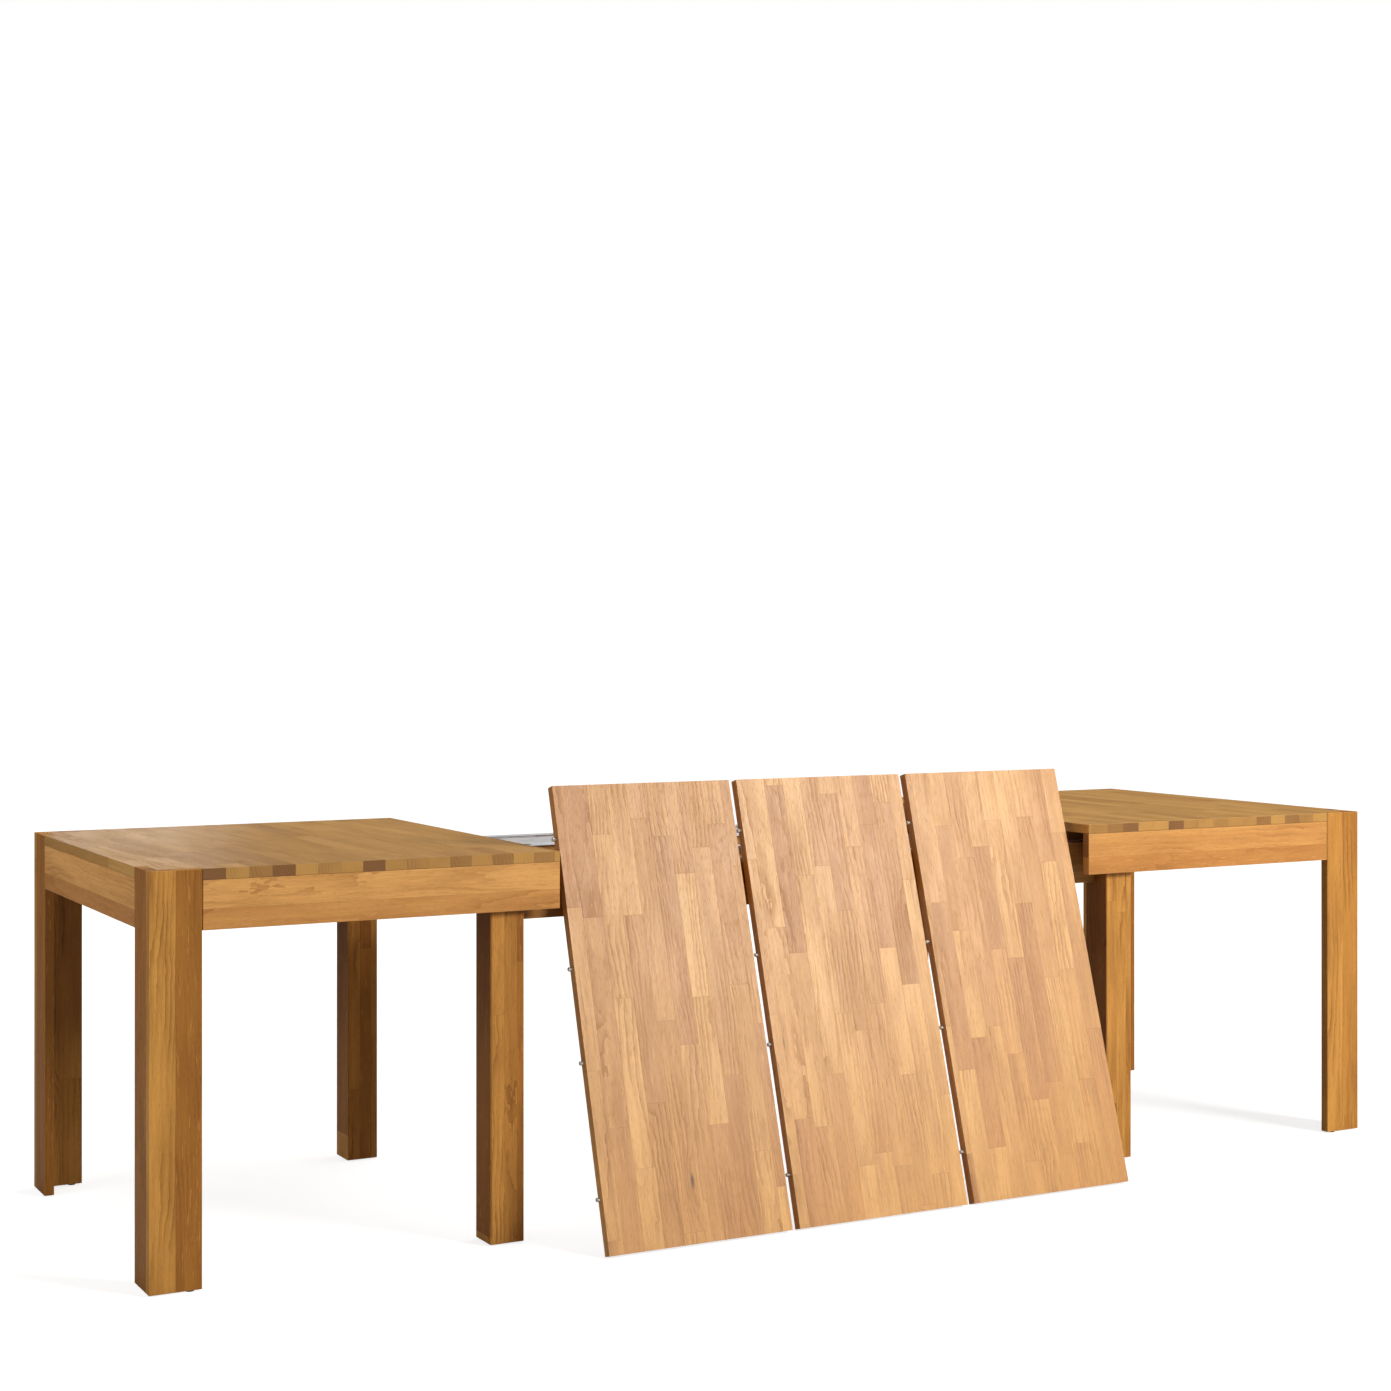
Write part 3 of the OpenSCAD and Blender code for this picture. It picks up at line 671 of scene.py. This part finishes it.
def lay_grain(piece, along, across, start, lot):
    """Writes where each point lies along, across and through the grain, and marks the
    faces that show end grain or an eased edge."""
    mesh = piece.data
    through = along.cross(across)
    axes = np.array([along, across, through], float)
    points = np.empty(len(mesh.vertices) * 3, np.float32)
    mesh.vertices.foreach_get("co", points)
    measured = (points.reshape(-1, 3) - np.array(start, np.float32)) @ axes.T
    normals = np.array([f.normal for f in mesh.polygons], float)
    turned = np.abs(normals @ axes.T)
    for title, kind, domain, key, values in (
            ("board", "FLOAT_VECTOR", "POINT", "vector", measured.astype(np.float32).ravel()),
            ("lot", "FLOAT", "POINT", "value", np.full(len(mesh.vertices), lot, np.float32)),
            ("end_grain", "FLOAT", "FACE", "value", (turned[:, 0] > FLAT).astype(np.float32)),
            ("eased", "FLOAT", "FACE", "value", (turned.max(1) < TURNED).astype(np.float32))):
        store = mesh.attributes.new(title, kind, domain)
        store.data.foreach_set(key, values)


def hand_over(piece, body, slot, *nodes):
    """Gives a finished piece its finish and its body, and hides the CAD nodes that it stands for.
    """
    piece.data.materials.clear()
    piece.data.materials.append(LOOKS[slot])
    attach(piece, body)
    if nodes:
        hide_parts(*nodes)
    return piece


def join(name, pieces):
    """Joins pieces into one and names it."""
    pick(*pieces)
    if len(pieces) > 1:
        bpy.ops.object.join()
    piece = bpy.context.view_layer.objects.active
    piece.name = piece.data.name = name
    return piece


print("board tools ready, edges eased by", EASE / MM, "mm")

# %% Finding loose parts of a CAD node
def loose_parts(node, matrix=None):
    """The boxes of a node's separate solids, in its own frame or in a turned one."""
    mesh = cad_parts[node].data
    points = np.array([v.co for v in mesh.vertices], float)
    if matrix is not None:
        points = points @ np.array(matrix.to_3x3()).T + np.array(matrix.translation)
    keys = np.unique(np.round(points, 5), axis=0, return_inverse=True)[1].ravel()
    owner = np.arange(keys.max() + 1)
    faces = keys[np.array([p.vertices[:] for p in mesh.polygons])]
    while True:
        lowest = owner[faces].min(1)
        fresh = owner.copy()
        for corner in range(3):
            np.minimum.at(fresh, faces[:, corner], lowest)
        fresh = fresh[fresh]
        if (fresh == owner).all():
            break
        owner = fresh
    boxes = []
    for name in np.unique(owner):
        inside = points[owner[keys] == name]
        boxes.append((Vector(inside.min(0)), Vector(inside.max(0))))
    return sorted(boxes, key=lambda b: tuple(round(c, 4) for c in b[0]))


for node in ("half_pins_right", "frame_screws", "half_screws_left", "frame_glides"):
    print(node, "parts:", len(loose_parts(node)))

# %% [markdown]
# ## The two halves of the top
#
# Each half is a glued panel whose staves run across the table. The corner legs come up
# through the panel's corners, so the panel is notched around them. The left half's inner
# edge has four sockets for the pins of the next leaf. The notches and the sockets are
# cut first and the edges are eased after, as they would be at the bench.

# %% Top panels
PIN_PLAY = 0.3 * MM
SOCKET_DEPTH, DRILL_START = 16 * MM, 2 * MM
NOTCH_BOTTOM, NOTCH_TOP, NOTCH_OVER = 0.6, 0.9, 0.05    # the notching tool reaches past the panel
TOP_LOTS = {"left": 1023, "right": 597}                 # a lot picks each stave's tone and figure
FIRST_STAVE = 33.9 * MM                                 # what is cut off the first stave
UNDER_HEART = 4 * MM                                    # how deep below a face its measure starts
leg_boxes = {(depth, side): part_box(f"corner_leg_{depth}_{side}") for depth, side in CORNERS}
apron_low, apron_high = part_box("apron_near_left")
BOARD = apron_high.y - apron_low.y
PIN_BOXES = loose_parts("half_pins_right")
PIN_R = (PIN_BOXES[0][1].z - PIN_BOXES[0][0].z) / 2


def drill_socket(piece, edge_x, pin_low, pin_high):
    """Drills the socket of one pin into the edge of a board that faces +X."""
    middle = (pin_low + pin_high) / 2
    middle.x = edge_x + (DRILL_START - SOCKET_DEPTH) / 2
    cut(piece, rod(32, PIN_R + PIN_PLAY, SOCKET_DEPTH + DRILL_START, middle,
                   (0, math.pi / 2, 0)))


def leg_notch(depth, side):
    """Two blocks that cut an L through a panel, a joint's width larger than the leg."""
    tools = []
    outer = (side == "right", depth == "far")
    for thin in (1, 0):
        a, b = (corner.copy() for corner in leg_boxes[depth, side])
        if outer[thin]:
            a[thin] = b[thin] - BOARD
        else:
            b[thin] = a[thin] + BOARD
        for axis in (0, 1):
            a[axis] -= JOINT + (0 if outer[axis] else NOTCH_OVER)
            b[axis] += JOINT + (NOTCH_OVER if outer[axis] else 0)
        a.z, b.z = NOTCH_BOTTOM, NOTCH_TOP
        tools.append(block("notch", a, b))
    return tools


for side in SIDES:
    low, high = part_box(f"top_{side}")
    panel = block(f"top_panel_{side}", low, high)
    for depth in DEPTHS:
        cut(panel, *leg_notch(depth, side))
    if side == "left":
        for pin_box in PIN_BOXES:
            drill_socket(panel, high.x, *pin_box)
    ease_sharp(panel, FINE_EASE)
    lay_grain(panel, Y, X, (low.x - FIRST_STAVE, low.y, low.z - UNDER_HEART), TOP_LOTS[side])
    hand_over(panel, f"{side}_half", "oak_top", f"top_{side}")
    print(panel.name, "faces:", len(panel.data.polygons))

# %% [markdown]
# ## Aprons and corner legs
#
# The aprons hang flush with the edge of the top. Each corner leg is two boards glued
# into an L: the board on the long side covers the edge of the one on the short side, so
# a glue seam shows on the table's end and the L can be seen from above.

# %% Aprons
APRON_LOTS = {("near", "left"): 23, ("near", "right"): 56, ("far", "left"): 84,
              ("far", "right"): 84, ("end", "left"): 25, ("end", "right"): 59}
for side in SIDES:
    for place_of in (*DEPTHS, "end"):
        low, high = (corner.copy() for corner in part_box(f"apron_{place_of}_{side}"))
        high.z -= JOINT / 2
        if place_of == "end":
            low.y, high.y = low.y + JOINT, high.y - JOINT
            along, start = Y, (low.x, low.y, high.z + 0.5 * MM)
        else:
            if side == "left":
                low.x += JOINT
            else:
                high.x -= JOINT
            along, start = X, (low.x - 3 * MM, low.y, high.z + 5 * MM)
        piece = eased_board(f"apron_board_{place_of}_{side}", low, high)
        lay_grain(piece, along, -Z, start, APRON_LOTS[place_of, side])
        hand_over(piece, f"{side}_half", "oak_apron", f"apron_{place_of}_{side}")

# %% Corner legs
# The far-right short board's lot is picked for dark staves: painted shade on a board that lies in
# shadow, over the wood's own tone.
LEG_LOTS_WITH_SHADE = {("near", "left"): (74, 157), ("near", "right"): (29, 104),
            ("far", "left"): (60, 571), ("far", "right"): (92, 189)}
for depth, side in CORNERS:
    low, high = leg_boxes[depth, side]
    long_low, long_high, short_low, short_high = (v.copy() for v in (low, high, low, high))
    if depth == "far":
        long_low.y = short_high.y = high.y - BOARD
    else:
        long_high.y = short_low.y = low.y + BOARD
    if side == "right":
        short_low.x = high.x - BOARD
    else:
        short_high.x = low.x + BOARD
    long_lot, short_lot = LEG_LOTS_WITH_SHADE[depth, side]
    long_board = eased_board("long_board", long_low, long_high, FINE_EASE)
    lay_grain(long_board, Z, X, (long_low.x - 0.6 * MM, long_low.y - UNDER_HEART, 0), long_lot)
    short_board = eased_board("short_board", short_low, short_high, FINE_EASE)
    lay_grain(short_board, Z, Y, (short_low.x - UNDER_HEART, short_low.y - 10 * MM, 0), short_lot)
    piece = join(f"corner_leg_boards_{depth}_{side}", [long_board, short_board])
    hand_over(piece, f"{side}_half", "oak_corner_leg", f"corner_leg_{depth}_{side}")
    print(piece.name, "faces:", len(piece.data.polygons))

# %% [markdown]
# ## The inner frame
#
# Four square legs and two side rails stand still in the middle while the halves travel.
# The legs are laminated from three staves. The end rails and the centre crossbeam lie
# low enough for the battens and the racks to pass over them.

# %% Inner legs and rails
POST_EASE = 1.4 * MM
# Each lot is picked so that the post's first stave, on its left face, is dark: painted shade on
# faces that lie in the top's shadow, over the wood's own stave tones.
POST_LOTS_WITH_SHADE = (1237, 551, 187, 1945)
RAILS = {"side_rail_near": (X, 117), "side_rail_far": (X, 116),
         "end_rail_left": (Y, 116), "end_rail_right": (Y, 117)}    # along the grain, and the lot
for (depth, side), lot in zip(CORNERS, POST_LOTS_WITH_SHADE):
    node = f"inner_leg_{depth}_{side}"
    low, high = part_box(node)
    piece = eased_board(f"inner_post_{depth}_{side}", low, high, POST_EASE)
    # The first stave starts 23.2 mm left of the post, so it covers the left face and 3 mm of the
    # front; its dark tone is painted shade.
    lay_grain(piece, Z, X, (low.x - 23.2 * MM, low.y - 3 * MM, 0), lot)
    hand_over(piece, "inner_frame", "oak_inner_leg", node)

for node, (along, lot) in RAILS.items():
    low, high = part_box(node)
    shrink = along * JOINT / 2
    piece = eased_board(node + "_board", low + shrink, high - shrink)
    lay_grain(piece, along, Z, (low.x - 2 * MM, low.y, low.z - 0.5 * MM), lot)
    hand_over(piece, "inner_frame", "oak_rail", node)
    print(piece.name, tuple(round(c, 3) for c in piece.dimensions))

# %% Crossbeam, with the hole that the pinion's pin is pressed into
low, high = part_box("centre_crossbeam")
pin_low, pin_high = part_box("pinion_pin")
PRESS_FIT, HOLE_DEPTH = 4.02 * MM, 12 * MM
beam = block("crossbeam_board", low + Y * JOINT / 2, high - Y * JOINT / 2)
pin_middle = (pin_low + pin_high) / 2
pin_middle.z = high.z
cut(beam, rod(32, PRESS_FIT, 2 * HOLE_DEPTH, pin_middle))
ease_sharp(beam, 0.8 * MM)
lay_grain(beam, Y, X, (low.x - 4 * MM, low.y, low.z), 131)
hand_over(beam, "inner_frame", "oak_rail", "centre_crossbeam")
print(beam.name, "faces:", len(beam.data.polygons))

# %% Battens under the halves, and the brackets that drive the racks
for number, side in enumerate(SIDES):
    for depth in DEPTHS:
        node = f"batten_{depth}_{side}"
        low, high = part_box(node)
        piece = eased_board(node + "_board", low, high)
        lay_grain(piece, X, Z, (low.x, low.y, low.z - 4 * MM), 141 + number)
        hand_over(piece, f"{side}_half", "oak_batten", node)
    node = f"rack_bracket_{side}"
    low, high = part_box(node)
    piece = eased_board(node + "_block", low, high)
    lay_grain(piece, X, Y, (low.x, low.y - 2 * MM, low.z), 151 + number)
    hand_over(piece, f"{side}_half", "oak_batten", node)

# %% [markdown]
# ## The leaves
#
# A leaf is modelled lying flat, with its front face up and its staves running along it.
# Sockets go into one long edge, the edges are eased, and the grain is measured while it
# lies flat. Only then is it stood on its foot and leant back, by the same angle that its
# CAD box shows.

# %% Where a leaf stands
top_low, top_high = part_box("top_left")
LEAF_T = top_high.z - top_low.z
LEAF_L = top_high.y - top_low.y


def leaf_matrix(name):
    """The turn and the place that take a flat leaf to where it leans."""
    low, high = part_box(f"leaf_{name}")
    lean = math.asin((high.y - low.y) / math.hypot(LEAF_L, LEAF_T)) - math.atan2(LEAF_T, LEAF_L)
    origin = Vector((low.x, low.y, low.z + LEAF_T * math.sin(lean)))
    return Matrix.Translation(origin) @ Matrix.Rotation(math.pi / 2 - lean, 4, "X"), lean


def lean_back(piece, matrix):
    """Stands a finished flat piece where its leaf leans."""
    piece.matrix_world = matrix
    settle(piece)


for name in LEAVES:
    print(name, "leaf leans", round(math.degrees(leaf_matrix(name)[1]), 2), "degrees")

# %% Leaf boards
for number, name in enumerate(LEAVES):
    matrix, _ = leaf_matrix(name)
    low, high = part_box(f"leaf_{name}")
    width = high.x - low.x
    leaf = block(f"leaf_board_{name}", (0, 0, -LEAF_T), (width, LEAF_L, 0))
    for pin_box in loose_parts(f"leaf_pins_{name}", matrix.inverted()):
        drill_socket(leaf, width, *pin_box)
    ease_sharp(leaf, FINE_EASE)
    first_stave = (12 + 9 * number) * MM
    lay_grain(leaf, Y, X, (-first_stave, 0, -LEAF_T - UNDER_HEART), 161 + 7 * number)
    lean_back(leaf, matrix)
    hand_over(leaf, f"leaf_{name}_body", "oak_leaf", f"leaf_{name}")
    print(leaf.name, "faces:", len(leaf.data.polygons))

# %% Cleats across the back of each leaf
for number, name in enumerate(LEAVES):
    matrix, _ = leaf_matrix(name)
    bars = []
    for index, (low, high) in enumerate(loose_parts(f"leaf_cleats_{name}", matrix.inverted())):
        bar = eased_board("bar", low, high, 2.0 * MM)
        lay_grain(bar, X, Y, (low.x, low.y - 4 * MM, low.z), 181 + 5 * number + index)
        bars.append(bar)
    cleats = join(f"leaf_bars_{name}", bars)
    lean_back(cleats, matrix)
    hand_over(cleats, f"leaf_{name}_body", "oak_cleat", f"leaf_cleats_{name}")
    print(cleats.name, "faces:", len(cleats.data.polygons))

# %% [markdown]
# ## Pins, screws and glides
#
# Small round parts are modelled once and copied. A pin is a cylinder with both ends
# rounded by a bevel, so it finds its socket. A screw head is a low dome with a cross cut
# into it for the driver.

# %% Alignment pins
SMOOTH = math.radians(35)


def steel_pin(low, high):
    """A round pin along X with rounded ends."""
    pin = rod(32, (high.z - low.z) / 2, high.x - low.x, (low + high) / 2, (0, math.pi / 2, 0))
    edit("SELECT")
    bpy.ops.mesh.edges_select_sharp(sharpness=math.radians(60))
    bpy.ops.mesh.bevel(offset=1.3 * MM, segments=4, affect="EDGES")
    leave_edit()
    bpy.ops.object.shade_smooth_by_angle(angle=SMOOTH)
    return pin


pins = join("half_pin_row_right", [steel_pin(*box) for box in PIN_BOXES])
hand_over(pins, "right_half", "bright_pin", "half_pins_right")
for name in LEAVES:
    matrix, _ = leaf_matrix(name)
    row_of_pins = [steel_pin(*box) for box in loose_parts(f"leaf_pins_{name}", matrix.inverted())]
    pins = join(f"leaf_pin_row_{name}", row_of_pins)
    lean_back(pins, matrix)
    hand_over(pins, f"leaf_{name}_body", "bright_pin", f"leaf_pins_{name}")
print("pin radius:", round(PIN_R / MM, 2), "mm")

# %% [markdown]
# Each screw is a head and a shank. The head starts as a cylinder: its outer rim is
# rounded, and the cross is cut with two thin blocks. The finished screw points along Z
# and is turned to whichever way its wood lies.

# %% Screws
def master_screw(head_r, head_h, shank_r, length):
    """A screw whose head's underside lies at Z = 0, with its shank going down."""
    head = rod(28, head_r, head_h, (0, 0, head_h / 2))
    edit("DESELECT")
    leave_edit()
    for edge in head.data.edges:
        a, b = (head.data.vertices[i].co for i in edge.vertices)
        edge.select = a.z > head_h * 0.9 and b.z > head_h * 0.9
    edit(kind="EDGE")
    bpy.ops.mesh.bevel(offset=head_h * 0.6, segments=3, affect="EDGES")
    leave_edit()
    arm, width, bottom, above = head_r * 0.55, head_r * 0.14, head_h * 0.4, head_h + 1 * MM
    cut(head, block("slot_x", (-arm, -width, bottom), (arm, width, above)),
        block("slot_y", (-width, -arm, bottom), (width, arm, above)))
    shank = rod(16, shank_r, length, (0, 0, -length / 2 + 0.1 * MM))
    edit("DESELECT")
    leave_edit()
    for face in shank.data.polygons:
        face.select = face.normal.z < -FLAT
    edit(kind="FACE")
    bpy.ops.mesh.extrude_region_move(TRANSFORM_OT_translate={"value": (0, 0, -shank_r)})
    bpy.ops.transform.resize(value=(0.15, 0.15, 1), center_override=(0, 0, -length))
    leave_edit()
    screw = join("screw", [head, shank])
    bpy.ops.object.shade_smooth_by_angle(angle=SMOOTH)
    return screw


def copy_turned(master, name, at_point, turn):
    """A copy with its own mesh, turned and put in place."""
    twin = bpy.data.objects.new(name, master.data.copy())
    bpy.context.scene.collection.objects.link(twin)
    twin.matrix_world = Matrix.Translation(at_point) @ turn
    settle(twin)
    return twin


def screws_for(node, piece_name, body):
    """Stands a screw wherever the CAD node has one, whichever way it points."""
    rail_mid = (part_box("side_rail_near")[0].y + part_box("side_rail_far")[1].y) / 2
    copies = []
    for low, high in loose_parts(node):
        size, centre = high - low, (low + high) / 2
        upright = size.z > size.y
        master = batten_screw if upright else slide_screw
        if upright:
            turn = Matrix.Rotation(math.pi, 4, "X")
            spot = Vector((centre.x, centre.y, low.z + BATTEN_HEAD))
        else:
            outward = 1 if centre.y > rail_mid else -1
            points_y = outward if node == "frame_screws" else -outward
            turn = Matrix.Rotation(math.pi / 2 * points_y, 4, "X")
            head_y = low.y + SLIDE_HEAD if points_y > 0 else high.y - SLIDE_HEAD
            spot = Vector((centre.x, head_y, centre.z))
        spin = Matrix.Rotation(SCREW_SPIN * len(copies), 4, "Z")
        copies.append(copy_turned(master, "screw_copy", spot, turn @ spin))
    piece = join(piece_name, copies)
    hand_over(piece, body, "screw_steel", node)
    print(piece_name, "screws:", len(copies))


SLIDE_HEAD, BATTEN_HEAD = 1.2 * MM, 2.0 * MM
SCREW_SPIN = 1.7    # radians from one screw's cross to the next, as a driver leaves them
slide_screw = master_screw(3.6 * MM, SLIDE_HEAD, 1.9 * MM, 13.0 * MM)
batten_screw = master_screw(4.0 * MM, BATTEN_HEAD, 1.9 * MM, 50.0 * MM)
screws_for("frame_screws", "frame_screw_set", "inner_frame")
for side in SIDES:
    screws_for(f"half_screws_{side}", f"half_screw_set_{side}", f"{side}_half")
for master in (slide_screw, batten_screw):
    bpy.data.objects.remove(master, do_unlink=True)

# %% Glides
def glide(low, high):
    """A moulded foot: rounded where it meets the floor, with a raised ring inside."""
    radius = (high.x - low.x) / 2
    foot = rod(40, radius, high.z - low.z, (low + high) / 2)
    for face in foot.data.polygons:
        face.select = face.normal.z < -FLAT
    edit(kind="FACE")
    bpy.ops.mesh.inset(thickness=radius * 0.45, depth=0)
    bpy.ops.mesh.extrude_region_move(TRANSFORM_OT_translate={"value": (0, 0, 0.8 * MM)})
    leave_edit()
    ease_sharp(foot, 0.5 * MM, 3)
    pick(foot)
    bpy.ops.object.shade_smooth_by_angle(angle=SMOOTH)
    return foot


for node, piece_name, body in (
        ("frame_glides", "frame_glide_set", "inner_frame"),
        *((f"half_glides_{side}", f"half_glide_set_{side}", f"{side}_half") for side in SIDES)):
    feet = join(piece_name, [glide(*box) for box in loose_parts(node)])
    hand_over(feet, body, "black_plastic", node)
    print(piece_name, "faces:", len(feet.data.polygons))

# %% [markdown]
# ## Slides and synchroniser
#
# The slide members and the racks are exact in the CAD already, so they stay and take
# their steel. What the CAD leaves out is what makes a slide run: rows of steel balls
# between the members, held in step by a thin cage. The middle member carries them.

# %% Steel and nylon on the CAD nodes that stay
KEPT = {"rack_guide": "plain_steel", "pinion_pin": "plain_steel", "rack_left": "plain_steel",
        "rack_right": "plain_steel", "sync_pinion": "nylon"}
KEPT.update({node: "zinc_steel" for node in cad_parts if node.startswith("slide_")})
for node, finish in KEPT.items():
    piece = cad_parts[node]
    for slot in piece.material_slots:
        slot.material = LOOKS[finish]
    if not piece.material_slots:
        piece.data.materials.append(LOOKS[finish])
print("CAD nodes with a new finish:", len(KEPT))

# %% Ball cages
BALL_R = 1.62 * MM
BALL_STEP = 14 * MM
BALLS = 26
BALL_OUT = 1.75 * MM                       # from the flange to the balls' middle
STRIP_HALF = (2.6 * MM, 0.25 * MM)         # half the cage strip's width and thickness


def ball_row(low, high, up):
    """A row of balls in a cage strip, above or below the middle member's flange."""
    middle = (low + high) / 2
    middle.z += up * ((high.z - low.z) / 2 + BALL_OUT)
    first = middle - X * BALL_STEP * (BALLS - 1) / 2
    deselect()
    bpy.ops.mesh.primitive_uv_sphere_add(segments=12, ring_count=8, radius=BALL_R, location=first)
    balls = bpy.context.object
    settle(balls)
    repeat = balls.modifiers.new("row", "ARRAY")
    repeat.count, repeat.use_relative_offset, repeat.use_constant_offset = BALLS, False, True
    repeat.constant_offset_displace = (BALL_STEP, 0, 0)
    bpy.ops.object.modifier_apply(modifier="row")
    bpy.ops.object.shade_smooth_by_angle(angle=math.radians(60))
    half = Vector((BALL_STEP * BALLS / 2, *STRIP_HALF))
    strip = block("strip", middle - half, middle + half)
    ease_all(strip, 0.1 * MM, 1)
    return [balls, strip]


for side in SIDES:
    for depth in DEPTHS:
        low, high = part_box(f"slide_middle_{depth}_{side}")
        rows = ball_row(low, high, 1) + ball_row(low, high, -1)
        cage = join(f"ball_cage_{depth}_{side}", rows)
        hand_over(cage, f"{side}_slide_middles", "zinc_steel")

# %% [markdown]
# ## Closing
#
# The last cell clears the selection.

# %% Clearing the selection
deselect()
